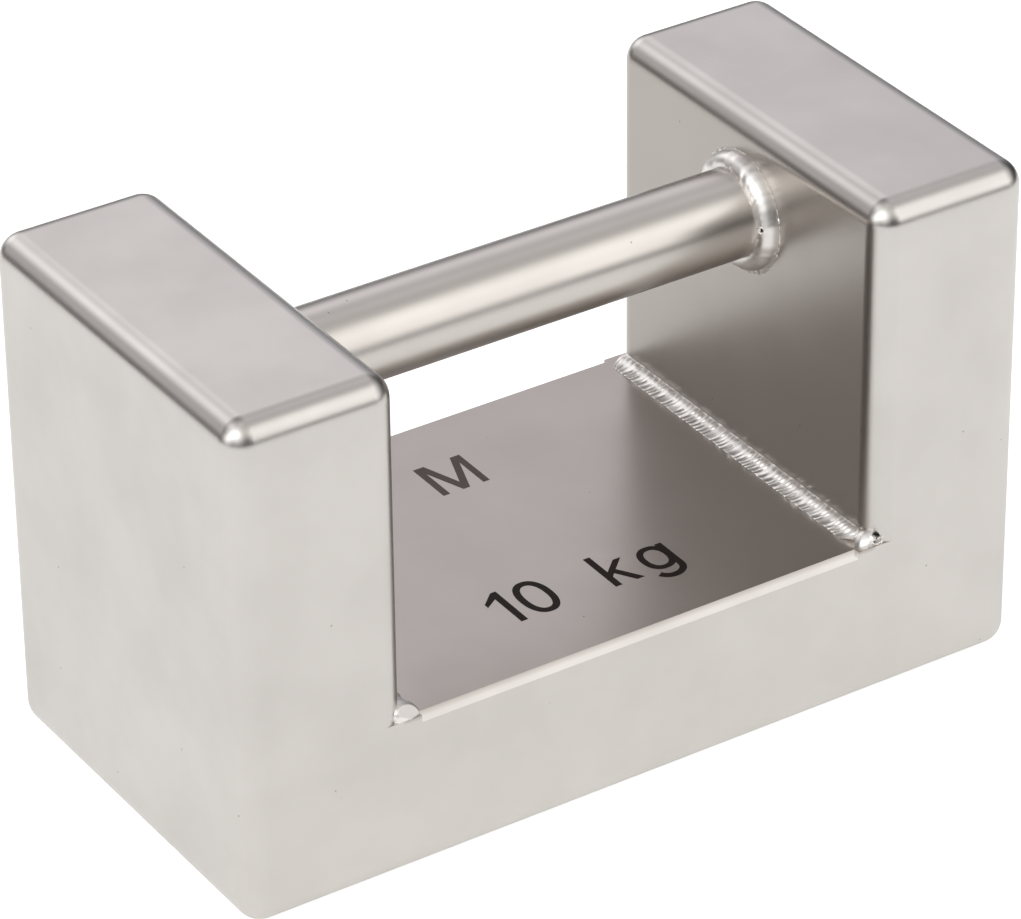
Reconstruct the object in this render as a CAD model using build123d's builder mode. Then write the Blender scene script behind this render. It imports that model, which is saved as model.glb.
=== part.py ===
"""Rectangular bar weight of 10 kg: a welded stainless steel block with a tubular handle.

Two rounded uprights stand at the ends of a base block. The handle tube runs between them and is let
into both. Its bore is the adjusting cavity: it holds a charge of steel shot and opens through the
right-hand upright, where a threaded plug and a pressed-in seal close it.

Frame: X along the handle, Y across the depth (the front is at -Y), Z up. The origin is the centre
of the underside. All sizes are in millimetres.
"""

import os
from math import hypot, sin

from build123d import *

os.makedirs("parts", exist_ok=True)

# Driving dimensions of the block
length = 190.0
depth = 95.0
height = 117.3
upright_thickness = 37.9
base_height = 37.6
edge_radius = 5.5
front_chamfer = 1.6
rear_chamfer = 1.0
weld_bevel = 2.5

# Handle: a thick tube whose ends are let into the uprights
handle_diameter = 19.6
bore_diameter = 12.0
handle_axis_height = 96.6
handle_socket_depth = 8.0

# Closure of the adjusting cavity, in the outer face of the right-hand upright
plug_diameter = 14.0
plug_thickness = 8.0
plug_slot_width = 2.0
plug_slot_depth = 2.4
plug_edge_chamfer = 0.8
seal_diameter = 18.0
seal_thickness = 3.2
seal_recess_depth = 4.0
seal_rim_chamfer = 0.7
seal_dish_diameter = 11.0
seal_dish_depth = 0.6

# Charge of steel shot lying in the bore: how deep it lies, as a share of the bore's diameter
shot_fill_share = 0.8

# Weld in the corner between base and upright
corner_weld_leg = 3.3
corner_weld_root = 1.5
corner_weld_half_length = 47.2
corner_weld_end_radius = 1.8
ripple_pitch = 1.9
ripple_pitch_change = 0.35
ripple_height = 0.35
ripple_crest_share = 0.3

# Weld round the handle where it enters the upright
handle_weld_plate_leg = 4.5
handle_weld_tube_leg = 3.4
handle_weld_bulge = 0.75

# Worked out from the sizes above
half_length = length / 2
half_depth = depth / 2
inner_face_x = half_length - upright_thickness
span = 2 * inner_face_x
chamfer_end_x = inner_face_x - corner_weld_leg
handle_radius = handle_diameter / 2
tube_end_x = inner_face_x + handle_socket_depth
plug_outer_x = half_length - seal_recess_depth
plug_inner_x = plug_outer_x - plug_thickness
handle_axis = Axis((0, 0, handle_axis_height), (1, 0, 0))


def section_plane(x):
    """The YZ plane at x: sketches on it have their width along Y and their height along Z."""
    return Plane(origin=(x, 0, 0), x_dir=(0, 1, 0), z_dir=(1, 0, 0))


def plane_across_handle(x):
    """The same plane with its origin moved up to the handle's axis."""
    return Plane(origin=(x, 0, handle_axis_height), x_dir=(0, 1, 0), z_dir=(1, 0, 0))


def base_section(plane):
    """The base block's section across its length, rounded along its two lower edges."""
    with BuildSketch(plane) as section:
        with Locations((0, base_height / 2)):
            Rectangle(depth, base_height)
        fillet(section.vertices().group_by(Axis.Y)[0], edge_radius)
    return section.sketch


def edge_wedge(plane, side, size):
    """The corner that a chamfer takes off the base's top edge. side is -1 for front, +1 for rear."""
    edge_y = side * half_depth
    with BuildSketch(plane) as wedge:
        with BuildLine():
            Polyline(
                (edge_y, base_height),
                (edge_y - side * size, base_height),
                (edge_y, base_height - size),
                close=True,
            )
        make_face()
    return wedge.sketch


def upright(side):
    """One rounded upright with the socket for the handle. side is -1 for left and +1 for right."""
    centre_x = side * (half_length - upright_thickness / 2)
    with BuildPart() as block:
        with BuildSketch(Plane.XY):
            with Locations((centre_x, 0)):
                Rectangle(upright_thickness, depth)
        extrude(amount=height)
        fillet(block.edges(), edge_radius)
        with BuildSketch(plane_across_handle(side * inner_face_x)):
            Circle(handle_radius)
        extrude(amount=side * handle_socket_depth, mode=Mode.SUBTRACT)
    return block


# Base block: bevelled all round both ends for the welds, chamfered along the top between them
with BuildPart() as base_block:
    extrude(base_section(section_plane(-inner_face_x)), amount=span)
    end_faces = base_block.faces().filter_by(Axis.X)
    chamfer(end_faces.edges(), weld_bevel)
    front_wedge = edge_wedge(section_plane(-chamfer_end_x), -1, front_chamfer)
    extrude(front_wedge, amount=2 * chamfer_end_x, mode=Mode.SUBTRACT)
    rear_wedge = edge_wedge(section_plane(-chamfer_end_x), 1, rear_chamfer)
    extrude(rear_wedge, amount=2 * chamfer_end_x, mode=Mode.SUBTRACT)

left_upright = upright(-1)

# Right-hand upright: the bore goes on from the socket to the stepped hole of the closure
with BuildPart() as right_upright:
    add(upright(1).part)
    with BuildSketch(plane_across_handle(tube_end_x)):
        Circle(bore_diameter / 2)
    extrude(amount=plug_inner_x - tube_end_x, mode=Mode.SUBTRACT)
    with BuildSketch(plane_across_handle(plug_inner_x)):
        Circle(plug_diameter / 2)
    extrude(amount=plug_thickness, mode=Mode.SUBTRACT)
    with BuildSketch(plane_across_handle(plug_outer_x)):
        Circle(seal_diameter / 2)
    extrude(amount=seal_recess_depth, mode=Mode.SUBTRACT)

# Handle tube
with BuildPart() as handle_tube:
    with BuildSketch(plane_across_handle(-tube_end_x)):
        Circle(handle_radius)
        Circle(bore_diameter / 2, mode=Mode.SUBTRACT)
    extrude(amount=2 * tube_end_x)

# Steel shot, levelled in the lower part of the bore
with BuildPart() as adjusting_shot:
    with BuildSketch(plane_across_handle(-tube_end_x)):
        Circle(bore_diameter / 2)
        with Locations((0, bore_diameter * shot_fill_share)):
            Rectangle(bore_diameter, bore_diameter, mode=Mode.SUBTRACT)
    extrude(amount=plug_inner_x + tube_end_x)

# Threaded plug with a driver slot in its outer face
with BuildPart() as adjusting_plug:
    with BuildSketch(plane_across_handle(plug_inner_x)):
        Circle(plug_diameter / 2)
    extrude(amount=plug_thickness)
    chamfer(adjusting_plug.edges().group_by(Axis.X)[0], plug_edge_chamfer)
    with BuildSketch(plane_across_handle(plug_outer_x)):
        Rectangle(plug_diameter, plug_slot_width)
    extrude(amount=-plug_slot_depth, mode=Mode.SUBTRACT)

# Soft metal seal pressed into the recess over the plug, with a shallow dish for the stamp
with BuildPart() as plug_seal:
    with BuildSketch(plane_across_handle(plug_outer_x)):
        Circle(seal_diameter / 2)
    extrude(amount=seal_thickness)
    chamfer(plug_seal.edges().group_by(Axis.X)[-1], seal_rim_chamfer)
    with BuildSketch(plane_across_handle(plug_outer_x + seal_thickness)):
        Circle(seal_dish_diameter / 2)
    extrude(amount=-seal_dish_depth, mode=Mode.SUBTRACT)


def seam_weld(side, beside):
    """Weld metal that fills the groove between base and upright, ground flush with the block."""
    base_side_x = side * (inner_face_x - weld_bevel)
    with BuildPart() as seam:
        extrude(base_section(section_plane(base_side_x)), amount=side * (weld_bevel + edge_radius))
        add(base_block.part, mode=Mode.SUBTRACT)
        add(beside.part, mode=Mode.SUBTRACT)
    return seam


def ripple_valleys():
    """Where the bead's ripples meet, along Y: their pitch drifts a little, as a hand does."""
    last_y = corner_weld_half_length - corner_weld_end_radius
    valleys = [-last_y]
    while valleys[-1] < last_y:
        drift = ripple_pitch_change * sin(0.9 * len(valleys)) * sin(0.23 * len(valleys))
        valleys.append(valleys[-1] + ripple_pitch + drift)
    stretch = 2 * last_y / (valleys[-1] - valleys[0])
    return [-last_y + (y + last_y) * stretch for y in valleys]


def corner_weld(side, beside):
    """Rippled fillet bead in the corner between the base's top and the upright's inner face.

    Its section across Y is a quarter circle about a root line inside the corner, and each ripple
    is a scale with its crest near the front, where the torch left it.
    """
    root_x = side * (inner_face_x + corner_weld_root)
    root_z = base_height - corner_weld_root
    crest = hypot(corner_weld_leg + corner_weld_root, corner_weld_root)
    crest_x = root_x - side * crest
    valley_x = root_x - side * (crest - ripple_height)
    shoulder_x = valley_x + side * corner_weld_end_radius
    end_y = corner_weld_half_length
    valleys = ripple_valleys()
    reach = 2 * corner_weld_leg
    clip_width = reach + edge_radius
    clip_centre_x = side * (inner_face_x + edge_radius - clip_width / 2)
    with BuildPart() as bead:
        with BuildSketch(Plane.XY.offset(root_z)):
            with BuildLine():
                Polyline((shoulder_x, -end_y), (root_x, -end_y), (root_x, end_y), (shoulder_x, end_y))
                RadiusArc((shoulder_x, end_y), (valley_x, valleys[-1]), side * corner_weld_end_radius)
                for start_y, stop_y in zip(valleys, valleys[1:]):
                    crest_y = start_y + ripple_crest_share * (stop_y - start_y)
                    Polyline((valley_x, start_y), (crest_x, crest_y), (valley_x, stop_y))
                RadiusArc((valley_x, valleys[0]), (shoulder_x, -end_y), side * corner_weld_end_radius)
            make_face()
        revolve(axis=Axis((root_x, 0, root_z), (0, side, 0)), revolution_arc=180)
        with Locations((clip_centre_x, 0, base_height + reach / 2)):
            Box(clip_width, depth, reach, mode=Mode.INTERSECT)
        add(beside.part, mode=Mode.SUBTRACT)
    return bead


def handle_weld(side):
    """Fillet bead round the handle where it enters the upright."""
    plate_x = side * inner_face_x
    tube_x = plate_x - side * handle_weld_tube_leg
    outer_z = handle_axis_height + handle_radius + handle_weld_plate_leg
    inner_z = handle_axis_height + handle_radius
    middle_x = (plate_x + tube_x) / 2 - side * handle_weld_bulge
    middle_z = (outer_z + inner_z) / 2 + handle_weld_bulge
    with BuildPart() as ring:
        with BuildSketch(Plane.XZ):
            with BuildLine():
                Polyline(
                    (plate_x, outer_z),
                    (middle_x, middle_z),
                    (tube_x, inner_z),
                    (plate_x, inner_z),
                    close=True,
                )
            make_face()
        revolve(axis=handle_axis)
    return ring


left_seam_weld = seam_weld(-1, left_upright)
right_seam_weld = seam_weld(1, right_upright)
left_corner_weld = corner_weld(-1, left_upright)
right_corner_weld = corner_weld(1, right_upright)
left_handle_weld = handle_weld(-1)
right_handle_weld = handle_weld(1)

pieces = {
    "base_block": base_block,
    "left_upright": left_upright,
    "right_upright": right_upright,
    "handle_tube": handle_tube,
    "adjusting_shot": adjusting_shot,
    "adjusting_plug": adjusting_plug,
    "plug_seal": plug_seal,
    "left_seam_weld": left_seam_weld,
    "right_seam_weld": right_seam_weld,
    "left_corner_weld": left_corner_weld,
    "right_corner_weld": right_corner_weld,
    "left_handle_weld": left_handle_weld,
    "right_handle_weld": right_handle_weld,
}

for name, piece in pieces.items():
    piece.part.label = name
    export_step(piece.part, f"parts/{name}.step")
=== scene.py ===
import math
import random

import bmesh
import bpy
from mathutils import Matrix, Vector, noise


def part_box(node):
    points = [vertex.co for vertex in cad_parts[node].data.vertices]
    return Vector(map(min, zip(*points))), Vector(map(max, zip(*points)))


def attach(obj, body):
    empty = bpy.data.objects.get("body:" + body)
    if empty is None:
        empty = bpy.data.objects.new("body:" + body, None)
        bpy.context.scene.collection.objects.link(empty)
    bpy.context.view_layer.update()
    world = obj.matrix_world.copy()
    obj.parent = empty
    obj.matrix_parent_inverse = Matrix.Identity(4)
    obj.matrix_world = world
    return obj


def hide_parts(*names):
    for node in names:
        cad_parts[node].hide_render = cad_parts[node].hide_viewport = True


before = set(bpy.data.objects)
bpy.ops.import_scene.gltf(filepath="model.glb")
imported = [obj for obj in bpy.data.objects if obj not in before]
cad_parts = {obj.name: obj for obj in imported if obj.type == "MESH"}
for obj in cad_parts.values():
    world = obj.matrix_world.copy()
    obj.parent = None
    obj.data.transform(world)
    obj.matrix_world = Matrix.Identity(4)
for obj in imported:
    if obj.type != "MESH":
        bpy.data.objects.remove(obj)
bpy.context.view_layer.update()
print("frame loaded")

mm = 0.001

# Sizes in millimetres, read from the solids that the pieces are dressed on
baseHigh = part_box("base_block")[1] / mm
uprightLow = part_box("right_upright")[0] / mm
handleLow, handleHigh = (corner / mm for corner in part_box("handle_tube"))
sealLow, sealHigh = (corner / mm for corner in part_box("plug_seal"))
platformZ = baseHigh.z
wallX = uprightLow.x
frontY = uprightLow.y
handleRadius = (handleHigh.z - handleLow.z) / 2
handleZ = (handleHigh.z + handleLow.z) / 2
proudFront = frontY - 0.02      # a bead end may stand that little out of the block's front


# Nodes and materials

def addNode(tree, kind, settings=None, links=None):
    # settings are sockets by name or number, or the node's own properties; links feed its sockets,
    # where a plain number is set instead
    node = tree.nodes.new(kind)
    for key, value in (settings or {}).items():
        if isinstance(key, int) or key in node.inputs:
            node.inputs[key].default_value = value
        else:
            setattr(node, key, value)
    for key, source in (links or {}).items():
        if isinstance(source, (int, float)):
            node.inputs[key].default_value = source
        else:
            socket = source if isinstance(source, bpy.types.NodeSocket) else source.outputs[0]
            tree.links.new(socket, node.inputs[key])
    return node


def linear(hexColour):
    channels = [int(hexColour[i:i + 2], 16) / 255 for i in (1, 3, 5)]
    return [c / 12.92 if c <= 0.04045 else ((c + 0.055) / 1.055) ** 2.4 for c in channels] + [1.0]


def addObject(name, data):
    thing = bpy.data.objects.new(name, data)
    bpy.context.scene.collection.objects.link(thing)
    return thing


def newMaterial(name):
    material = bpy.data.materials.new(name)
    material.use_nodes = True
    tree = material.node_tree
    shader = tree.nodes["Principled BSDF"]
    return material, tree, shader


def perMetre(sizeInMm):
    return 1 / (sizeInMm * mm)


def blastedSteel(name, tone, cloudTone, recessShadeTone, roughness, grain):
    # Stainless steel, ground flat and bead-blasted: an even silver satin with a fine grain,
    # faint clouds where the jet dwelt, and a few tiny pits that read as dark specks. Between the
    # uprights, above the platform, a greyer tone is painted in as painted shade
    material, tree, shader = newMaterial(name)
    place = addNode(tree, "ShaderNodeTexCoord").outputs["Object"]
    clouds = addNode(tree, "ShaderNodeTexNoise",
                     {"Scale": perMetre(22), "Detail": 3.0, "Roughness": 0.55}, {"Vector": place})
    beads = addNode(tree, "ShaderNodeTexNoise",
                    {"Scale": perMetre(grain), "Detail": 2.0, "Roughness": 0.6}, {"Vector": place})
    tint = addNode(tree, "ShaderNodeMix", {"data_type": "RGBA", 6: linear(tone), 7: linear(cloudTone)})
    cloudShare = addNode(tree, "ShaderNodeMapRange", {"From Min": 0.35, "From Max": 0.7}, {"Value": clouds})
    tree.links.new(cloudShare.outputs[0], tint.inputs[0])
    gloss = addNode(tree, "ShaderNodeMapRange",
                    {"From Min": 0.3, "From Max": 0.7,
                     "To Min": roughness - 0.015, "To Max": roughness + 0.04}, {"Value": clouds})
    # grit is 0.1 mm across, drawn three times as coarse so that it shows
    relief = addNode(tree, "ShaderNodeBump", {"Strength": 0.12, "Distance": 0.02 * mm}, {"Height": beads})
    pits = addNode(tree, "ShaderNodeTexVoronoi", {"Scale": perMetre(9), "Randomness": 1.0}, {"Vector": place})
    speck = addNode(tree, "ShaderNodeMapRange",
                    {"From Min": 0.012, "From Max": 0.03, "To Min": 0.45, "To Max": 1.0}, {"Value": pits})
    spot = addNode(tree, "ShaderNodeSeparateXYZ", {}, {0: place})
    # painted shade: between the uprights and above the platform the tone turns to the shade tone
    between = addNode(tree, "ShaderNodeMapRange",
                      {"From Min": (wallX + 1.2) * mm, "From Max": (wallX + 0.2) * mm},
                      {0: addNode(tree, "ShaderNodeMath", {"operation": "ABSOLUTE"}, {0: spot})})
    above = addNode(tree, "ShaderNodeMapRange",
                    {"From Min": (platformZ - 0.9) * mm, "From Max": (platformZ - 0.1) * mm},
                    {0: spot.outputs[2]})
    recess = addNode(tree, "ShaderNodeMath", {"operation": "MULTIPLY"}, {0: between, 1: above})
    toned = addNode(tree, "ShaderNodeMix", {"data_type": "RGBA", 7: linear(recessShadeTone)},
                    {0: recess, 6: tint.outputs[2]})
    specked = addNode(tree, "ShaderNodeMix", {"data_type": "RGBA", "blend_type": "MULTIPLY", 0: 1.0},
                      {6: toned.outputs[2], 7: speck})
    shader.inputs["Metallic"].default_value = 1.0
    tree.links.new(specked.outputs[2], shader.inputs["Base Color"])
    tree.links.new(gloss.outputs[0], shader.inputs["Roughness"])
    tree.links.new(relief.outputs[0], shader.inputs["Normal"])
    return material


def weldMetal():
    # Stainless weld metal, blasted with the rest after it froze: a pale silver satin that is a
    # little brighter than the plates, so each ripple catches its own soft highlight
    material, tree, shader = newMaterial("blasted weld metal")
    place = addNode(tree, "ShaderNodeTexCoord").outputs["Object"]
    skin = addNode(tree, "ShaderNodeTexNoise",
                   {"Scale": perMetre(1.6), "Detail": 3.0}, {"Vector": place})
    tint = addNode(tree, "ShaderNodeMix",
                   {"data_type": "RGBA", 6: linear("#F4F1EE"), 7: linear("#E6E2DE")}, {0: skin})
    gloss = addNode(tree, "ShaderNodeMapRange", {"To Min": 0.33, "To Max": 0.42}, {"Value": skin})
    relief = addNode(tree, "ShaderNodeBump", {"Strength": 0.06, "Distance": 0.04 * mm}, {"Height": skin})
    shader.inputs["Metallic"].default_value = 1.0
    tree.links.new(tint.outputs[2], shader.inputs["Base Color"])
    tree.links.new(gloss.outputs[0], shader.inputs["Roughness"])
    tree.links.new(relief.outputs[0], shader.inputs["Normal"])
    return material


def markOxide(name, dark, light, metallic, shine):
    # Oxide grown by a marking laser: a thin dark brown film on the steel, slightly uneven
    material, tree, shader = newMaterial(name)
    place = addNode(tree, "ShaderNodeTexCoord").outputs["Object"]
    film = addNode(tree, "ShaderNodeTexNoise", {"Scale": perMetre(3), "Detail": 2.0}, {"Vector": place})
    tint = addNode(tree, "ShaderNodeMix",
                   {"data_type": "RGBA", 6: linear(dark), 7: linear(light)}, {0: film})
    gloss = addNode(tree, "ShaderNodeMapRange", {"To Min": 0.42, "To Max": 0.55}, {"Value": film})
    shader.inputs["Metallic"].default_value = metallic
    shader.inputs["Specular IOR Level"].default_value = shine
    tree.links.new(tint.outputs[2], shader.inputs["Base Color"])
    tree.links.new(gloss.outputs[0], shader.inputs["Roughness"])
    return material


def softSeal():
    # Soft aluminium of the seal: duller and bluer than the steel, smeared where the punch slid
    material, tree, shader = newMaterial("soft aluminium seal")
    place = addNode(tree, "ShaderNodeTexCoord").outputs["Object"]
    smear = addNode(tree, "ShaderNodeTexNoise", {"Scale": perMetre(2.5), "Detail": 3.0}, {"Vector": place})
    tint = addNode(tree, "ShaderNodeMix",
                   {"data_type": "RGBA", 6: linear("#C9CACC"), 7: linear("#AEAFB2")}, {0: smear})
    gloss = addNode(tree, "ShaderNodeMapRange", {"To Min": 0.32, "To Max": 0.5}, {"Value": smear})
    fine = addNode(tree, "ShaderNodeTexNoise", {"Scale": perMetre(0.4), "Detail": 2.0}, {"Vector": place})
    relief = addNode(tree, "ShaderNodeBump", {"Strength": 0.2, "Distance": 0.03 * mm}, {"Height": fine})
    shader.inputs["Metallic"].default_value = 1.0
    tree.links.new(tint.outputs[2], shader.inputs["Base Color"])
    tree.links.new(gloss.outputs[0], shader.inputs["Roughness"])
    tree.links.new(relief.outputs[0], shader.inputs["Normal"])
    return material


def pitShadeMaterial():
    # The floor of a crater or pinhole in the weld, painted nearly black as painted shade, with paler patches
    # that break up the gloss
    material, tree, shader = newMaterial("painted shade in weld pits")
    place = addNode(tree, "ShaderNodeTexCoord").outputs["Object"]
    crust = addNode(tree, "ShaderNodeTexNoise", {"Scale": perMetre(0.5), "Detail": 2.0}, {"Vector": place})
    tint = addNode(tree, "ShaderNodeMix",
                   {"data_type": "RGBA", 6: linear("#14100E"), 7: linear("#8C857F")},
                   {0: addNode(tree, "ShaderNodeMapRange", {"From Min": 0.52, "From Max": 0.68}, {0: crust})})
    relief = addNode(tree, "ShaderNodeBump", {"Strength": 0.5, "Distance": 0.1 * mm}, {"Height": crust})
    shader.inputs["Metallic"].default_value = 0.8
    shader.inputs["Roughness"].default_value = 0.3
    tree.links.new(tint.outputs[2], shader.inputs["Base Color"])
    tree.links.new(relief.outputs[0], shader.inputs["Normal"])
    return material


# the third colour is painted shade for the recess between the uprights; on the tube it is the plain tone
blockSteel = blastedSteel("bead-blasted stainless steel", "#D2CECA", "#CDC9C5", "#B4AEA9", 0.295, 0.35)
tubeSteel = blastedSteel("bead-blasted stainless tube", "#D0CBC6", "#CBC6C1", "#D0CBC6", 0.292, 0.3)
weldSteel = weldMetal()
pitShade = pitShadeMaterial()
sealMetal = softSeal()
oxide = markOxide("laser-annealed oxide", "#140D0B", "#251A16", 0.0, 0.12)
faintOxide = markOxide("thin laser oxide", "#4A3E3B", "#5E504D", 0.35, 0.5)
print("materials made")


# Pieces

def makePiece(name, mesh, material, replaced=()):
    piece = addObject(name, mesh)
    if len(mesh.materials) < 2:
        mesh.materials.clear()
        mesh.materials.append(material)
    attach(piece, "root")
    if replaced:
        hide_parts(*replaced)
    return piece


def evaluated(holder, name):
    # the holder's result as a plain mesh; the holder and its modifiers go
    bpy.context.view_layer.update()
    mesh = bpy.data.meshes.new_from_object(holder.evaluated_get(bpy.context.evaluated_depsgraph_get()))
    mesh.name = name
    bpy.data.objects.remove(holder)
    return mesh


def dressedCopy(node, softEdge=None):
    # a copy of a solid's mesh, merged, with flat faces whole again and its roundings shaded smooth
    bm = bmesh.new()
    bm.from_mesh(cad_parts[node].data)
    bmesh.ops.remove_doubles(bm, verts=bm.verts, dist=0.002 * mm)
    bmesh.ops.dissolve_limit(bm, angle_limit=math.radians(0.5), verts=bm.verts, edges=bm.edges)
    if softEdge:
        edges = [e for e in bm.edges if softEdge["where"](*[v.co / mm for v in e.verts])]
        bmesh.ops.bevel(bm, geom=edges, offset=softEdge["width"] * mm, segments=3, profile=0.5,
                        affect="EDGES")
    mesh = bpy.data.meshes.new(node)
    bm.to_mesh(mesh)
    bm.free()
    mesh.shade_smooth()
    holder = addObject(node, mesh)
    holder.modifiers.new("split", "EDGE_SPLIT").split_angle = math.radians(28)
    holder.modifiers.new("even", "WEIGHTED_NORMAL")
    return evaluated(holder, node)


def onChamfer(a, b):
    # the long edges of the chamfers along the platform
    level = abs(a.y - b.y) < 0.01 and abs(a.z - b.z) < 0.01
    return level and a.z > platformZ - 2 and abs(a.x - b.x) > 50


makePiece("leftUpright", dressedCopy("left_upright"), blockSteel, ["left_upright"])
makePiece("rightUpright", dressedCopy("right_upright"), blockSteel, ["right_upright"])
makePiece("baseBlock", dressedCopy("base_block", {"width": 0.3, "where": onChamfer}),
          blockSteel, ["base_block"])
makePiece("leftSeam", dressedCopy("left_seam_weld"), blockSteel, ["left_seam_weld"])
makePiece("rightSeam", dressedCopy("right_seam_weld"), blockSteel, ["right_seam_weld"])
makePiece("handleTube", dressedCopy("handle_tube"), tubeSteel, ["handle_tube"])
print("block and handle made")


# Weld beads

def newTree(name, sizes, bead):
    # a Geometry Nodes tree whose named inputs are the bead's sizes in mm
    tree = bpy.data.node_groups.new(name, "GeometryNodeTree")
    for label in sizes:
        tree.interface.new_socket(label, in_out="INPUT", socket_type="NodeSocketFloat")
    tree.interface.new_socket("Geometry", in_out="OUTPUT", socket_type="NodeSocketGeometry")
    given = addNode(tree, "NodeGroupInput")
    real = addNode(tree, "GeometryNodeRealizeInstances", {}, {0: bead(tree, given.outputs)})
    finished = addNode(tree, "GeometryNodeSetMaterial", {"Material": weldSteel}, {"Geometry": real})
    addNode(tree, "NodeGroupOutput", {}, {0: finished})
    return tree


smooth = {"interpolation_type": "SMOOTHSTEP"}
buried = -0.05      # mm that the hidden rows of a bead lie under the steel
rootLine = 0.985    # past this share across, both edges of the grid fold on to the hidden root line


def uneven(tree, place, scale, detail=1.0):
    field = addNode(tree, "ShaderNodeTexNoise", {"Detail": detail, "Scale": scale}, {"Vector": place})
    return addNode(tree, "ShaderNodeMath", {"operation": "SUBTRACT"}, {0: field.outputs[0], 1: 0.5})


def placeRoundTube(tree, size, turn, bow, sideways, outwards):
    # one toe lies on the tube, the other on the wall, where the bead is wider to one side
    fromWide = addNode(tree, "ShaderNodeMath", {"operation": "SUBTRACT"}, {0: turn, 1: size["Wide side"]})
    lean = addNode(tree, "ShaderNodeMath", {"operation": "MULTIPLY_ADD"},
                   {0: addNode(tree, "ShaderNodeMath", {"operation": "COSINE"}, {0: fromWide}),
                    1: size["Widening"], 2: 1.0})
    outwards = addNode(tree, "ShaderNodeMath", {"operation": "MULTIPLY"},
                       {0: addNode(tree, "ShaderNodeMath", {"operation": "MAXIMUM"},
                                   {0: outwards, 1: buried}),
                        1: lean})
    sideways = addNode(tree, "ShaderNodeMath", {"operation": "MAXIMUM"}, {0: sideways, 1: buried})
    away = addNode(tree, "ShaderNodeMath", {"operation": "DIVIDE"}, {0: size["Run"], 1: math.tau})
    turned = addNode(tree, "ShaderNodeMath", {"operation": "ADD"},
                     {0: turn,
                      1: addNode(tree, "ShaderNodeMath", {"operation": "DIVIDE"}, {0: bow, 1: away})})
    reach = addNode(tree, "ShaderNodeMath", {"operation": "ADD"}, {0: size["Tube radius"], 1: outwards})
    x = addNode(tree, "ShaderNodeMath", {"operation": "MULTIPLY"},
                {0: addNode(tree, "ShaderNodeMath", {"operation": "SUBTRACT"},
                            {0: size["Wall"], 1: sideways}),
                 1: size["Side"]})
    y = addNode(tree, "ShaderNodeMath", {"operation": "MULTIPLY"},
                {0: reach, 1: addNode(tree, "ShaderNodeMath", {"operation": "COSINE"}, {0: turned})})
    z = addNode(tree, "ShaderNodeMath", {"operation": "MULTIPLY_ADD"},
                {0: reach, 1: addNode(tree, "ShaderNodeMath", {"operation": "SINE"}, {0: turned}),
                 2: size["Height"]})
    return addNode(tree, "ShaderNodeCombineXYZ", {}, {0: x, 1: y, 2: z})


def placeInCorner(tree, size, along, bow, sideways, outwards):
    # at its ends the bead follows the upright's rounded edge
    edgeRadius = size["Edge radius"]
    bowed = addNode(tree, "ShaderNodeMath", {"operation": "MINIMUM"},
                    {0: addNode(tree, "ShaderNodeMath", {"operation": "ADD"}, {0: bow, 1: along}),
                     1: -frontY - 0.5})
    flatEnd = addNode(tree, "ShaderNodeMath", {"operation": "SUBTRACT"}, {0: -frontY, 1: edgeRadius})
    past = addNode(tree, "ShaderNodeMath", {"operation": "SUBTRACT"},
                   {0: addNode(tree, "ShaderNodeMath", {"operation": "ABSOLUTE"}, {0: bowed}), 1: flatEnd})
    past = addNode(tree, "ShaderNodeMath", {"operation": "MINIMUM"},
                   {0: addNode(tree, "ShaderNodeMath", {"operation": "MAXIMUM"}, {0: past, 1: 0.0}),
                    1: edgeRadius})
    pastSquared = addNode(tree, "ShaderNodeMath", {"operation": "POWER"}, {0: past, 1: 2.0})
    chordSquared = addNode(tree, "ShaderNodeMath", {"operation": "SUBTRACT"},
                           {0: addNode(tree, "ShaderNodeMath", {"operation": "POWER"},
                                       {0: edgeRadius, 1: 2.0}),
                            1: pastSquared})
    recess = addNode(tree, "ShaderNodeMath", {"operation": "SUBTRACT"},
                     {0: edgeRadius,
                      1: addNode(tree, "ShaderNodeMath", {"operation": "SQRT"}, {0: chordSquared})})
    sideways = addNode(tree, "ShaderNodeMath", {"operation": "MAXIMUM"},
                       {0: sideways,
                        1: addNode(tree, "ShaderNodeMath", {"operation": "SUBTRACT"},
                                   {0: buried, 1: recess})})
    outwards = addNode(tree, "ShaderNodeMath", {"operation": "MAXIMUM"}, {0: outwards, 1: buried})
    x = addNode(tree, "ShaderNodeMath", {"operation": "MULTIPLY"},
                {0: addNode(tree, "ShaderNodeMath", {"operation": "SUBTRACT"},
                            {0: size["Wall"], 1: sideways}),
                 1: size["Side"]})
    z = addNode(tree, "ShaderNodeMath", {"operation": "ADD"}, {0: size["Height"], 1: outwards})
    return addNode(tree, "ShaderNodeCombineXYZ", {}, {0: x, 1: bowed, 2: z})


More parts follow.
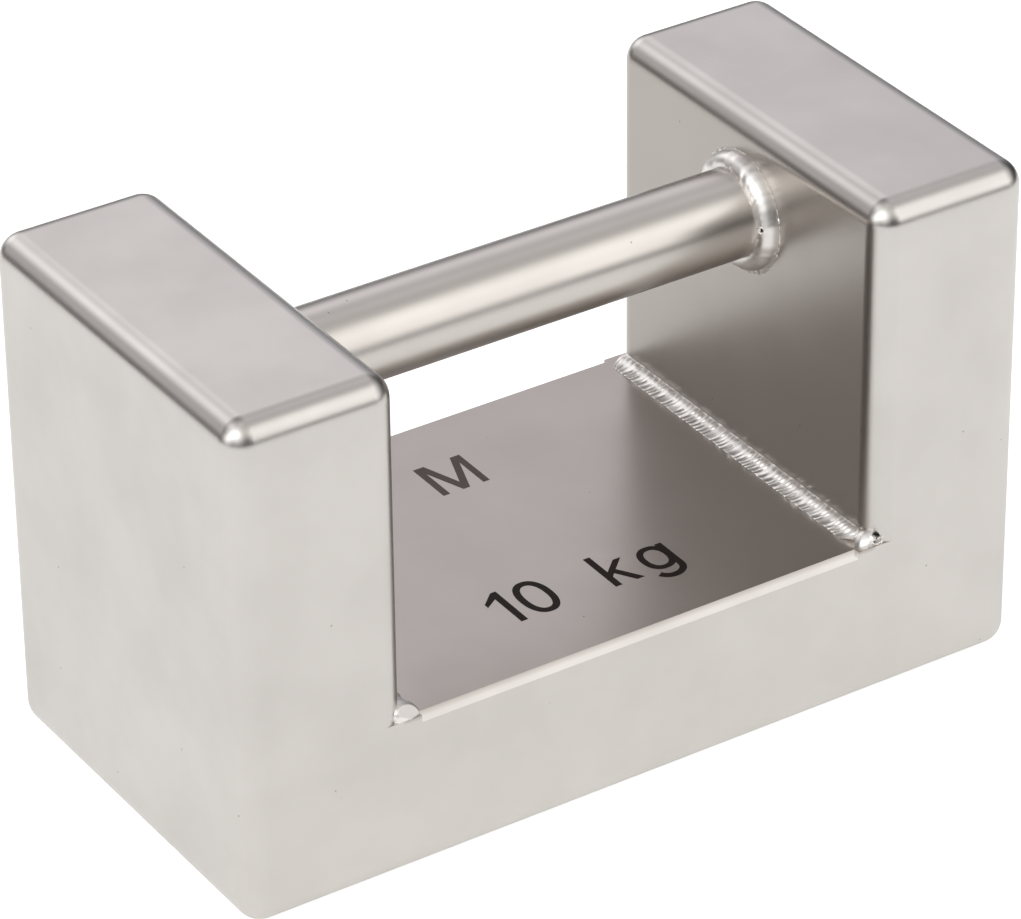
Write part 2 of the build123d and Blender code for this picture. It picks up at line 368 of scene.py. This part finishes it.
def rippledBead(ring):
    # the surface of a bead as a grid, rows along the run and columns across it; each ripple is a
    # scale with a steep front and a long back, and the rows are bowed as the ripples are
    def bead(tree, size):
        grid = addNode(tree, "GeometryNodeMeshGrid", {"Size X": 1.0, "Size Y": 1.0},
                       {"Vertices X": size["Rows"], "Vertices Y": size["Columns"]})
        corner = addNode(tree, "ShaderNodeSeparateXYZ", {}, {0: addNode(tree, "GeometryNodeInputPosition")})
        run = addNode(tree, "ShaderNodeMath", {"operation": "ADD"}, {0: corner.outputs[0], 1: 0.5})
        across = addNode(tree, "ShaderNodeMath", {"operation": "MULTIPLY"}, {0: corner.outputs[1], 1: 2.0})
        along = addNode(tree, "ShaderNodeMath", {"operation": "MULTIPLY_ADD"},
                        {0: run, 1: size["Run"], 2: size["Start"]})
        turn = addNode(tree, "ShaderNodeMath", {"operation": "MULTIPLY"}, {0: run, 1: math.tau})
        seed = size["Seed"]

        # where the noise is read: round the ring it closes on itself
        if ring:
            away = addNode(tree, "ShaderNodeMath", {"operation": "DIVIDE"}, {0: size["Run"], 1: math.tau})
            courseX = addNode(tree, "ShaderNodeMath", {"operation": "MULTIPLY"},
                              {0: addNode(tree, "ShaderNodeMath", {"operation": "COSINE"}, {0: turn}),
                               1: away})
            courseY = addNode(tree, "ShaderNodeMath", {"operation": "MULTIPLY"},
                              {0: addNode(tree, "ShaderNodeMath", {"operation": "SINE"}, {0: turn}),
                               1: away})
            course = addNode(tree, "ShaderNodeCombineXYZ", {}, {0: courseX, 1: courseY, 2: seed})
        else:
            course = addNode(tree, "ShaderNodeCombineXYZ", {}, {0: along, 1: seed})
        aside = addNode(tree, "ShaderNodeMath", {"operation": "MULTIPLY"}, {0: across, 1: 3.0})
        skin = addNode(tree, "ShaderNodeCombineXYZ", {}, {0: along, 1: aside, 2: seed})

        # each ripple's own height, and the pool that a few of them make together
        drift = addNode(tree, "ShaderNodeMath", {"operation": "MULTIPLY"},
                        {0: uneven(tree, course, 0.22), 1: size["Drift"]})
        count = addNode(tree, "ShaderNodeMath", {"operation": "DIVIDE"},
                        {0: addNode(tree, "ShaderNodeMath", {"operation": "ADD"}, {0: along, 1: drift}),
                         1: size["Pitch"]})
        phase = addNode(tree, "ShaderNodeMath", {"operation": "FRACT"}, {0: count})
        ripple = addNode(tree, "ShaderNodeCombineXYZ", {},
                         {0: addNode(tree, "ShaderNodeMath", {"operation": "FLOOR"}, {0: count}), 1: seed})
        chance = addNode(tree, "ShaderNodeTexWhiteNoise", {"noise_dimensions": "2D"},
                         {"Vector": ripple}).outputs["Value"]
        steepFront = addNode(tree, "ShaderNodeMapRange", smooth,
                             {"Value": phase, "From Min": 0.0, "From Max": 0.34})
        longBack = addNode(tree, "ShaderNodeMapRange", smooth,
                           {"Value": phase, "From Min": 0.3, "From Max": 1.0, "To Min": 1.0, "To Max": 0.0})
        scale = addNode(tree, "ShaderNodeMath", {"operation": "MULTIPLY"}, {0: steepFront, 1: longBack})
        scale = addNode(tree, "ShaderNodeMath", {"operation": "MULTIPLY"},
                        {0: scale,
                         1: addNode(tree, "ShaderNodeMapRange", smooth,
                                    {"Value": chance, "From Min": 0.0, "From Max": 1.0, "To Min": 0.2,
                                     "To Max": 1.3})})
        pool = addNode(tree, "ShaderNodeMath", {"operation": "FRACT"},
                       {0: addNode(tree, "ShaderNodeMath", {"operation": "DIVIDE"},
                                   {0: count, 1: size["Pool"]})})
        poolRise = addNode(tree, "ShaderNodeMapRange", smooth,
                           {"Value": pool, "From Min": 0.0, "From Max": 0.2})
        poolFall = addNode(tree, "ShaderNodeMath", {"operation": "SUBTRACT"}, {0: 1.0, 1: pool})
        pool = addNode(tree, "ShaderNodeMath", {"operation": "MULTIPLY"}, {0: poolRise, 1: poolFall})
        swell = addNode(tree, "ShaderNodeMath", {"operation": "MULTIPLY"},
                        {0: scale, 1: size["Ripple height"]})
        swell = addNode(tree, "ShaderNodeMath", {"operation": "MULTIPLY_ADD"},
                        {0: pool, 1: size["Pool height"], 2: swell})

        # the ripples die out towards both toes; across, height there and height inside
        if ring:
            toes = ((-1.0, 0.2, size["Toe share"], 1.0), (0.55, 1.0, 1.0, 0.55))
        else:
            toes = ((-0.45, 0.0, size["Toe share"], 1.0), (0.28, 0.52, 1.0, 0.0))
        for low, high, toLow, toHigh in toes:
            fade = addNode(tree, "ShaderNodeMapRange", smooth,
                           {"Value": across, "From Min": low, "From Max": high, "To Min": toLow,
                            "To Max": toHigh})
            swell = addNode(tree, "ShaderNodeMath", {"operation": "MULTIPLY"}, {0: swell, 1: fade})
        swell = addNode(tree, "ShaderNodeMath", {"operation": "MULTIPLY_ADD"},
                        {0: uneven(tree, skin, 0.9, 2.0), 1: size["Unevenness"], 2: swell})
        wander = addNode(tree, "ShaderNodeMath", {"operation": "MULTIPLY"},
                         {0: uneven(tree, course, 0.35), 1: size["Wander"]})
        if ring:
            taper = 1.0
        else:
            fromStart = addNode(tree, "ShaderNodeMath", {"operation": "MULTIPLY"}, {0: run, 1: size["Run"]})
            fromEnd = addNode(tree, "ShaderNodeMath", {"operation": "MULTIPLY"},
                              {0: addNode(tree, "ShaderNodeMath", {"operation": "SUBTRACT"},
                                          {0: 1.0, 1: run}),
                               1: size["Run"]})
            startTaper = addNode(tree, "ShaderNodeMapRange", smooth,
                                 {"Value": fromStart, "From Min": 0.0, "From Max": size["End radius"]})
            endTaper = addNode(tree, "ShaderNodeMapRange", smooth,
                               {"Value": fromEnd, "From Min": 0.0, "From Max": size["End radius"]})
            taper = addNode(tree, "ShaderNodeMath", {"operation": "MULTIPLY"}, {0: startTaper, 1: endTaper})
        grow = addNode(tree, "ShaderNodeMath", {"operation": "MULTIPLY"},
                       {0: addNode(tree, "ShaderNodeMath", {"operation": "ADD"}, {0: swell, 1: wander}),
                        1: taper})

        # across runs from -1 at one toe to 1 at the other; past the toes it goes on under the steel
        angle = addNode(tree, "ShaderNodeMath", {"operation": "MULTIPLY_ADD"},
                        {0: across, 1: size["Half turn"], 2: math.radians(45)})
        inside = addNode(tree, "ShaderNodeMath", {"operation": "LESS_THAN"},
                         {0: addNode(tree, "ShaderNodeMath", {"operation": "ABSOLUTE"}, {0: across}),
                          1: rootLine})
        fromCrest = addNode(tree, "ShaderNodeMath", {"operation": "ABSOLUTE"},
                            {0: addNode(tree, "ShaderNodeMath", {"operation": "SUBTRACT"},
                                        {0: across, 1: 0.3})})
        bow = addNode(tree, "ShaderNodeMath", {"operation": "MULTIPLY"},
                      {0: addNode(tree, "ShaderNodeMath", {"operation": "POWER"}, {0: fromCrest, 1: 2.0}),
                       1: size["Bow"]})
        bow = addNode(tree, "ShaderNodeMath", {"operation": "MULTIPLY"}, {0: bow, 1: inside})
        if not ring:
            # the rows straighten towards the rear end
            straight = addNode(tree, "ShaderNodeMath", {"operation": "SUBTRACT"}, {0: size["Run"], 1: 0.5})
            bent = addNode(tree, "ShaderNodeMath", {"operation": "SUBTRACT"}, {0: size["Run"], 1: 9.0})
            bow = addNode(tree, "ShaderNodeMath", {"operation": "MULTIPLY"},
                          {0: bow,
                           1: addNode(tree, "ShaderNodeMapRange", smooth,
                                      {"Value": fromStart, "From Min": straight, "From Max": bent})})
        radiusA = addNode(tree, "ShaderNodeMath", {"operation": "MULTIPLY"},
                          {0: addNode(tree, "ShaderNodeMath", {"operation": "ADD"},
                                      {0: size["Radius A"], 1: grow}),
                           1: taper})
        radiusB = addNode(tree, "ShaderNodeMath", {"operation": "MULTIPLY"},
                          {0: addNode(tree, "ShaderNodeMath", {"operation": "ADD"},
                                      {0: size["Radius B"], 1: grow}),
                           1: taper})
        sideways = addNode(tree, "ShaderNodeMath", {"operation": "MULTIPLY_ADD"},
                           {0: addNode(tree, "ShaderNodeMath", {"operation": "COSINE"}, {0: angle}),
                            1: radiusA, 2: size["Middle A"]})
        outwards = addNode(tree, "ShaderNodeMath", {"operation": "MULTIPLY_ADD"},
                           {0: addNode(tree, "ShaderNodeMath", {"operation": "SINE"}, {0: angle}),
                            1: radiusB, 2: size["Middle B"]})
        sideways = addNode(tree, "ShaderNodeMath", {"operation": "MULTIPLY"}, {0: sideways, 1: inside})
        outwards = addNode(tree, "ShaderNodeMath", {"operation": "MULTIPLY"}, {0: outwards, 1: inside})
        if ring:
            place = placeRoundTube(tree, size, turn, bow, sideways, outwards)
        else:
            place = placeInCorner(tree, size, along, bow, sideways, outwards)
        small = addNode(tree, "ShaderNodeVectorMath", {"operation": "SCALE", "Scale": mm}, {0: place})
        shaped = addNode(tree, "GeometryNodeSetPosition", {}, {"Geometry": grid, "Position": small})
        joined = addNode(tree, "GeometryNodeMergeByDistance", {"Distance": 0.008 * mm}, {"Geometry": shaped})
        return addNode(tree, "GeometryNodeSetShadeSmooth", {}, {"Geometry": joined}).outputs[0]

    return bead


def makeBead(name, tree, sizes):
    # an empty mesh carries the tree; its result, closed and with its normals turned outwards, is the bead
    holder = addObject(name, bpy.data.meshes.new(name))
    modifier = holder.modifiers.new("bead", "NODES")
    modifier.node_group = tree
    for item in tree.interface.items_tree:
        if item.in_out == "INPUT":
            modifier[item.identifier] = float(sizes[item.name])
    mesh = evaluated(holder, name)
    bm = bmesh.new()
    bm.from_mesh(mesh)
    bmesh.ops.holes_fill(bm, edges=[e for e in bm.edges if e.is_boundary], sides=0)
    bmesh.ops.recalc_face_normals(bm, faces=bm.faces)
    if bm.calc_volume(signed=True) < 0:
        bmesh.ops.reverse_faces(bm, faces=bm.faces)
    bm.to_mesh(mesh)
    bm.free()
    return mesh


def dent(mesh, hole):
    # a pinhole or crater with a raised rim, pressed in along the mesh's own normals; its floor is painted
    # nearly black as painted shade
    centre = Vector(hole["centre"])
    moves = []
    for v in mesh.vertices:
        away = (v.co / mm - centre).length / hole["radius"]
        if away < 1.6:
            bowl = hole["depth"] * max(1 - away ** 2, 0) ** 0.6
            rim = hole["rim"] * math.exp(-((away - 1.12) / 0.2) ** 2)
            moves.append((v, v.normal * (bowl - rim) * mm))
    # painted shade: the faces near the pit's middle take the nearly black material
    pitShadeRadius = hole["radius"] * hole["paintedPitShade"]
    paintedPitShade = [p for p in mesh.polygons if (p.center / mm - centre).length < pitShadeRadius]
    for v, move in moves:
        v.co -= move
        v.co.y = max(v.co.y, proudFront * mm)
    mesh.materials.append(weldSteel)
    mesh.materials.append(pitShade)
    for p in paintedPitShade:
        p.material_index = 1


# Corner bead in mm: its section is part of an ellipse, whose middle lies that far out of the wall (A)
# and of the platform (B); the ripples overlap towards the front. Pool counts ripples, Rows and Columns
# are the grid's points, and Side and Seed are set for each bead below
cornerBead = {"Start": -45.4, "Run": 91.4, "Rows": 900, "Columns": 29, "Radius A": 4.4, "Radius B": 4.25,
              "Middle A": -0.7, "Middle B": -1.85, "Half turn": math.radians(62), "Pitch": 1.4,
              "Drift": 5.0, "Bow": 6.0, "Ripple height": 0.26, "Pool": 4.3, "Pool height": 0.22,
              "Toe share": 0.2, "Unevenness": 0.02, "Wander": 0.4, "End radius": 2.4, "Edge radius": 5.5,
              "Side": 1, "Seed": 4.0, "Wall": wallX, "Height": platformZ}

# Bead round the handle in mm: Run is the way round it, Wide side the angle where it spreads most
wayRound = math.tau * 12
handleBead = {"Start": 0.0, "Run": wayRound, "Rows": 620, "Columns": 53, "Radius A": 3.5, "Radius B": 3.0,
              "Middle A": 0.3, "Middle B": 0.3, "Half turn": math.radians(62), "Pitch": wayRound / 26,
              "Drift": 7.0, "Bow": 1.6, "Ripple height": 0.015, "Pool": 26 / 4, "Pool height": 0.05,
              "Toe share": 0.5, "Unevenness": 0.02, "Wander": 0.45, "Side": 1, "Seed": 9.0, "Wall": wallX,
              "Height": handleZ, "Tube radius": handleRadius, "Wide side": math.radians(310),
              "Widening": 0.12}

# Thin scalloped skirt under that bead, where the first pass ran out on to the wall
handleSkirt = {**handleBead, "Columns": 25, "Radius A": 1.0, "Radius B": 4.5, "Middle A": -0.35,
               "Middle B": -0.35, "Pitch": wayRound / 46, "Drift": 2.0, "Bow": 0.2, "Ripple height": 0.2,
               "Pool": 46 / 8, "Pool height": 0.1, "Toe share": 0.8, "Unevenness": 0.05, "Widening": 0.3}

# a gas hole in the right-hand ring, in mm; the last entry is the share of its radius whose floor is painted
# nearly black as painted shade
pinhole = {"centre": (53.5, -11.1, 97.4), "radius": 0.6, "depth": 0.9, "rim": 0.12, "paintedPitShade": 0.8}

cornerTree = newTree("rippled corner bead", cornerBead, rippledBead(False))
ringTree = newTree("rippled bead round a tube", handleBead, rippledBead(True))
for side, name, seed in ((-1, "left", 17.0), (1, "right", 4.0)):
    cornerMesh = makeBead(name + "CornerBead", cornerTree, {**cornerBead, "Side": side, "Seed": seed})
    makePiece(name + "CornerBead", cornerMesh, weldSteel, [name + "_corner_weld"])
    ringMesh = makeBead(name + "HandleBead", ringTree, {**handleBead, "Side": side, "Seed": seed + 5})
    if side == 1:
        ringMesh.materials.clear()
        dent(ringMesh, pinhole)
    makePiece(name + "HandleBead", ringMesh, weldSteel, [name + "_handle_weld"])
    skirtMesh = makeBead(name + "HandleSkirt", ringTree, {**handleSkirt, "Side": side, "Seed": seed + 2})
    makePiece(name + "HandleSkirt", skirtMesh, weldSteel)
print("weld beads made")


def makeBeadEnd(name, settings, crater=None):
    # the lump where a corner bead runs out at the front, ground off flush with the block
    bm = bmesh.new()
    bmesh.ops.create_uvsphere(bm, u_segments=160, v_segments=96, radius=1.0)
    centre, reach = Vector(settings["centre"]), settings["reach"]
    cutPoint, cutNormal = Vector(settings["cutPoint"]), Vector(settings["cutNormal"]).normalized()
    for v in bm.verts:
        low = settings["lowShare"] if v.co.z < 0 else 1.0
        p = centre + Vector((v.co.x * reach[0], v.co.y * reach[1], v.co.z * reach[2] * low))
        p += v.co * noise.noise(p * 0.9) * settings["unevenness"]
        p.x += settings["side"] * settings["lean"] * max(p.z - centre.z, 0)
        over = (p - cutPoint).dot(cutNormal)
        if over > 0:
            p -= cutNormal * over
        if p.y < proudFront:
            hollow = 1 - ((p.x - centre.x) ** 2 + (p.z - centre.z) ** 2) / reach[0] ** 2
            p.y = proudFront + settings["dish"] * max(hollow, 0)
        v.co = p * mm
    bmesh.ops.recalc_face_normals(bm, faces=bm.faces)
    mesh = bpy.data.meshes.new(name)
    bm.to_mesh(mesh)
    bm.free()
    mesh.shade_smooth()
    if crater:
        dent(mesh, crater)
    makePiece(name, mesh, weldSteel)


# centre, reach and cut in mm; the right-hand lump keeps the crater that the arc left as it broke off
rightEnd = {"side": 1, "centre": (57.7, -45.1, 37.9), "reach": (3.1, 2.9, 2.6), "lowShare": 0.75,
            "lean": 0.3, "unevenness": 0.08, "dish": 0.55, "cutPoint": (57.0, -47.5, 43.0),
            "cutNormal": (0, -0.3, 1)}
leftEnd = {"side": -1, "centre": (-57.0, -44.9, 38.0), "reach": (3.6, 3.3, 2.9), "lowShare": 0.8,
           "lean": 0.45, "unevenness": 0.04, "dish": 0.1, "cutPoint": (-54.9, -47.5, 36.7),
           "cutNormal": (0.265, -0.85, 0.45)}
# the crater's floor is painted nearly black as painted shade, out to the last entry's share of its radius
crater = {"centre": (58.8, -46.5, 39.2), "radius": 1.35, "depth": 1.2, "rim": 0.2, "paintedPitShade": 0.72}
makeBeadEnd("rightBeadEnd", rightEnd, crater)
makeBeadEnd("leftBeadEnd", leftEnd)
print("bead ends made")


def makeSeal(settings):
    # the soft plug over the closure, as the punch left it: dished, and dimpled by hammer blows
    chances = random.Random(settings["seed"])
    middle = Vector((0, (sealHigh.y + sealLow.y) / 2, (sealHigh.z + sealLow.z) / 2))
    outer = (sealHigh.z - sealLow.z) / 2
    blows = [(chances.uniform(0, math.tau), outer * math.sqrt(chances.random()), chances.uniform(0.9, 1.7))
             for _ in range(settings["blows"])]
    bm = bmesh.new()
    rows = []
    for i in range(1, settings["rings"] + 1):
        r = outer * i / settings["rings"]
        row = []
        for j in range(settings["spokes"]):
            turn = math.tau * j / settings["spokes"]
            y, z = r * math.cos(turn), r * math.sin(turn)
            slope = min(max((r - settings["dishRadius"]) / settings["dishSlope"], 0), 1)
            x = sealHigh.x - settings["dishDepth"] * (1 - slope * slope * (3 - 2 * slope))
            x -= max(r - (outer - settings["rim"]), 0) * settings["rimFall"]
            for blowTurn, blowR, size in blows:
                away = math.hypot(y - blowR * math.cos(blowTurn), z - blowR * math.sin(blowTurn)) / size
                x -= settings["blowDepth"] * max(1 - away * away, 0)
            x -= settings["unevenness"] * (0.5 + noise.noise(Vector((y, z, 3.0)) * 0.6))
            row.append(bm.verts.new((x * mm, (y + middle.y) * mm, (z + middle.z) * mm)))
        rows.append(row)
    rows.append([bm.verts.new((sealLow.x * mm, v.co.y, v.co.z)) for v in rows[-1]])
    for inner, outerRow in zip(rows, rows[1:]):
        for j in range(settings["spokes"]):
            k = (j + 1) % settings["spokes"]
            bm.faces.new((inner[j], inner[k], outerRow[k], outerRow[j]))
    bm.faces.new(rows[0])
    bm.faces.new(rows[-1])
    bmesh.ops.recalc_face_normals(bm, faces=bm.faces)
    mesh = bpy.data.meshes.new("plugSeal")
    bm.to_mesh(mesh)
    bm.free()
    mesh.shade_smooth()
    holder = addObject("plugSeal", mesh)
    holder.modifiers.new("split", "EDGE_SPLIT").split_angle = math.radians(50)
    makePiece("plugSeal", evaluated(holder, "plugSeal"), sealMetal, ["plug_seal"])


# sizes in mm; rimFall is how steeply the rim falls away, and seed fixes where the blows land
seal = {"rings": 60, "spokes": 120, "dishRadius": 4.6, "dishSlope": 0.9, "dishDepth": 0.55, "rim": 0.7,
        "rimFall": 0.9, "blows": 34, "blowDepth": 0.07, "unevenness": 0.1, "seed": 5}
makeSeal(seal)
for node, material in {"adjusting_shot": weldSteel, "adjusting_plug": tubeSteel}.items():
    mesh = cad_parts[node].data
    mesh.materials.clear()
    mesh.materials.append(material)
print("closure made")


# Marks on the platform, cut by laser in plain strokes

def loop(centreX, centreY, radiusX, radiusY, squareness=2.25, count=48):
    # a closed rounded outline, a little squarer than an ellipse
    points = []
    for i in range(count):
        c, s = math.cos(math.tau * i / count), math.sin(math.tau * i / count)
        points.append((centreX + radiusX * math.copysign(abs(c) ** (2 / squareness), c),
                       centreY + radiusY * math.copysign(abs(s) ** (2 / squareness), s)))
    return points


def hookedStem(x, top, bend, radiusX, radiusY, lastAngle, width):
    # a straight stem whose foot curls to the left; its outline is the line widened on both sides
    middle = [(x, top), (x, bend)]
    steps = 18
    for i in range(1, steps + 1):
        turn = -math.radians(lastAngle) * i / steps
        middle.append((x - radiusX + radiusX * math.cos(turn), bend + radiusY * math.sin(turn)))
    left, right = [], []
    for i, (px, py) in enumerate(middle):
        ax, ay = middle[max(i - 1, 0)]
        bx, by = middle[min(i + 1, len(middle) - 1)]
        way = Vector((bx - ax, by - ay)).normalized() * width / 2
        left.append((px - way.y, py + way.x))
        right.append((px + way.y, py - way.x))
    return left + right[::-1]


def makeMark(name, outlines, material, lift=0.0):
    curve = bpy.data.curves.new(name, "CURVE")
    curve.dimensions, curve.fill_mode, curve.extrude = "2D", "BOTH", marks["thickness"] / 2
    for points in outlines:
        spline = curve.splines.new("POLY")
        spline.points.add(len(points) - 1)
        spline.points.foreach_set("co", [v for x, y in points for v in (x, y, 0, 1)])
        spline.use_cyclic_u = True
    mesh = evaluated(addObject(name, curve), name)
    mesh.transform(Matrix.Translation((0, 0, (platformZ + lift) * mm)) @ Matrix.Scale(mm, 4))
    makePiece(name, mesh, material)


# outlines in mm on the platform, x to the right and y to the rear; half the thickness is sunk
marks = {"thickness": 0.05, "stroke": 1.6}
one = [(-17.0, -17.6), (-17.0, -30.0), (-18.65, -30.0), (-18.65, -20.05), (-21.6, -22.0), (-21.6, -20.7),
       (-18.3, -17.6)]
letterK = [(4.65, -17.6), (6.25, -17.6), (6.25, -24.45), (9.75, -21.1), (11.7, -21.1), (8.3, -24.4),
           (11.85, -30.0), (9.95, -30.0), (7.2, -25.5), (6.25, -26.45), (6.25, -30.0), (4.65, -30.0)]
letterM = [(-5.8, 19.7), (-5.8, 31.9), (-3.15, 31.9), (0.05, 22.6), (3.5, 31.9), (5.85, 31.9), (5.85, 19.7),
           (4.25, 19.7), (4.25, 29.2), (0.85, 19.7), (-0.8, 19.7), (-4.15, 29.2), (-4.15, 19.7)]
makeMark("markOne", [one], oxide)
makeMark("markZero", [loop(-11.05, -23.9, 3.95, 6.3), loop(-11.05, -23.9, 2.35, 4.7)], oxide)
makeMark("markK", [letterK], oxide)
makeMark("markGBowl", [loop(17.75, -25.4, 3.7, 4.55), loop(17.75, -25.4, 2.2, 3.15)], oxide)
# the stem lies a hair over the bowl, so that the two never share a surface
makeMark("markGStem", [hookedStem(20.95, -21.1, -29.9, 3.2, 2.9, 155, marks["stroke"])], oxide, 0.004)
makeMark("markM", [letterM], faintOxide)
print("marks made")


# Floor, light and camera

def makeFloor(settings):
    # a round sheet of white paper; past its edge the studio is dark, which draws the dark lines
    # along the steel's roundings
    mesh = bpy.data.meshes.new("floor")
    radius, count = settings["radius"], settings["corners"]
    turns = [math.tau * i / count for i in range(count)]
    corners = [(radius * math.cos(turn), radius * math.sin(turn), 0) for turn in turns]
    mesh.from_pydata(corners, [], [tuple(range(count))])
    floor = addObject("floor", mesh)
    material, tree, shader = newMaterial("white studio paper")
    shader.inputs["Base Color"].default_value = linear("#E6E5E3")
    shader.inputs["Roughness"].default_value = 0.9
    path = addNode(tree, "ShaderNodeLightPath")
    mirrored = addNode(tree, "ShaderNodeMath", {"operation": "ADD", "use_clamp": True},
                       {0: path.outputs["Is Glossy Ray"], 1: path.outputs["Is Transmission Ray"]})
    seen = addNode(tree, "ShaderNodeMath", {"operation": "MULTIPLY", 1: settings["seenGlow"]},
                   {0: path.outputs["Is Camera Ray"]})
    glow = addNode(tree, "ShaderNodeMath", {"operation": "MULTIPLY_ADD", 1: settings["mirroredGlow"]},
                   {0: mirrored, 2: seen})
    light = addNode(tree, "ShaderNodeEmission", {"Color": linear("#FCFEFF")}, {"Strength": glow})
    both = addNode(tree, "ShaderNodeAddShader", {}, {0: shader, 1: light})
    tree.links.new(both.outputs[0], tree.nodes["Material Output"].inputs["Surface"])
    mesh.materials.append(material)


def wayTo(azimuth, elevation):
    # azimuth is measured from the front towards +X
    azimuth, elevation = math.radians(azimuth), math.radians(elevation)
    return Vector((math.sin(azimuth) * math.cos(elevation), -math.cos(azimuth) * math.cos(elevation),
                   math.sin(elevation)))


def makeLamp(name, azimuth, elevation, distance, width, height, radiance, tone="#FFFFFF"):
    # a soft box; radiance 1 reflects as plain white
    towards = wayTo(azimuth, elevation)
    data = bpy.data.lights.new(name, "AREA")
    data.shape = "RECTANGLE"
    data.size, data.size_y = width, height
    data.energy = radiance * math.pi * width * height
    data.color = linear(tone)[:3]
    lamp = addObject(name, data)
    lamp.location = towards * distance + Vector((0, 0, 0.06))
    lamp.rotation_euler = towards.to_track_quat("Z", "Y").to_euler()


def makeWorld(patches):
    # the studio's walls: soft patches of light in a dark room; the view itself shows plain white
    world = bpy.data.worlds.new("studio")
    bpy.context.scene.world = world
    world.use_nodes = True
    tree = world.node_tree
    tree.nodes.clear()
    way = addNode(tree, "ShaderNodeTexCoord").outputs["Generated"]
    room = None
    for azimuth, elevation, sharpness, strength in patches:
        towards = wayTo(azimuth, elevation)
        facing = addNode(tree, "ShaderNodeVectorMath", {"operation": "DOT_PRODUCT", 1: towards},
                         {0: way}).outputs["Value"]
        soft = addNode(tree, "ShaderNodeMath", {"operation": "POWER"},
                       {0: addNode(tree, "ShaderNodeMath", {"operation": "MAXIMUM"}, {0: facing, 1: 0.0}),
                        1: sharpness})
        patch = addNode(tree, "ShaderNodeVectorMath", {"operation": "SCALE", 0: strength}, {"Scale": soft})
        if room:
            patch = addNode(tree, "ShaderNodeVectorMath", {"operation": "ADD"}, {0: room, 1: patch})
        room = patch
    path = addNode(tree, "ShaderNodeLightPath")
    shown = addNode(tree, "ShaderNodeMix", {"data_type": "RGBA", 7: (1, 1, 1, 1)},
                    {0: path.outputs["Is Camera Ray"], 6: room})
    back = addNode(tree, "ShaderNodeBackground", {"Strength": 1.0}, {0: shown.outputs[2]})
    addNode(tree, "ShaderNodeOutputWorld", {}, {0: back})


def makeCamera(settings):
    back = wayTo(settings["azimuth"], settings["elevation"])
    data = bpy.data.cameras.new("camera")
    data.sensor_fit = "HORIZONTAL"
    data.lens = settings["focalPixels"] / settings["imageWidth"] * data.sensor_width
    data.clip_start, data.clip_end = 0.05, 20
    camera = addObject("camera", data)
    turn = back.to_track_quat("Z", "Y").to_matrix().to_4x4()
    roll = Matrix.Rotation(math.radians(settings["roll"]), 4, "Z")
    place = (Vector(settings["target"]) + back * settings["distance"]) * mm
    camera.matrix_world = Matrix.Translation(place) @ turn @ roll
    bpy.context.scene.camera = camera


# azimuth from the front towards +X, target and distance in mm, focal length in pixels of the picture
cameraSettings = {"azimuth": -32.774, "elevation": 31.621, "distance": 1220.0,
                  "target": (11.978, 21.036, 39.818), "roll": -0.675, "focalPixels": 5731.388,
                  "imageWidth": 1021}

# radius in metres; seenGlow keeps the paper white to the camera, mirroredGlow shows it in the steel
floorSettings = {"radius": 0.75, "corners": 96, "seenGlow": 0.68, "mirroredGlow": 0.38}

# azimuth, elevation, sharpness and colour of each patch of light; a sharper patch is a narrower one
studioPatches = [(45, 14, 26, (1.30, 1.28, 1.27)), (135, 14, 26, (0.43, 0.43, 0.47)),
                 (180, 14, 26, (1.41, 1.42, 1.43)), (-135, 14, 26, (0.23, 0.19, 0.19)),
                 (-90, 14, 26, (1.92, 1.94, 1.93)), (-45, 14, 26, (0.48, 0.47, 0.47)),
                 (20, 34, 26, (1.10, 1.10, 1.07)), (65, 34, 26, (0.36, 0.35, 0.34)),
                 (150, 34, 26, (1.01, 0.98, 1.01)), (-165, 34, 26, (1.55, 1.54, 1.58)),
                 (-80, 34, 26, (1.35, 1.38, 1.39)), (-30, 34, 26, (0.79, 0.78, 0.76)),
                 (0, 56, 26, (0.61, 0.60, 0.56)), (120, 56, 26, (0.51, 0.50, 0.52)),
                 (-120, 56, 26, (1.29, 1.26, 1.27)), (-60, 56, 26, (0.92, 0.94, 0.94)),
                 (0, 88, 26, (0.81, 0.79, 0.78)), (137, 47, 80, (0.27, 0.28, 0.27)),
                 (108, 61, 80, (0.40, 0.38, 0.40)), (32, 30, 80, (0.60, 0.61, 0.62)),
                 (28, 12, 80, (1.48, 1.45, 1.43)), (165, 42, 80, (0.80, 0.77, 0.81)),
                 (-138, 15, 80, (0.71, 0.74, 0.73)), (-58, 38, 12, (1.49, 1.53, 1.53)),
                 (60, 48, 10, (0.69, 0.68, 0.67))]

makeFloor(floorSettings)
makeWorld(studioPatches)
makeLamp("frontRightSoftbox", 42, 46, 1.3, 0.45, 0.45, 0.75, "#FFFEFC")
makeLamp("frontLeftSoftbox", -58, 38, 1.3, 0.5, 0.5, 0.8)
makeCamera(cameraSettings)
bpy.context.scene.view_settings.view_transform = "Standard"
print("floor, light and camera set")
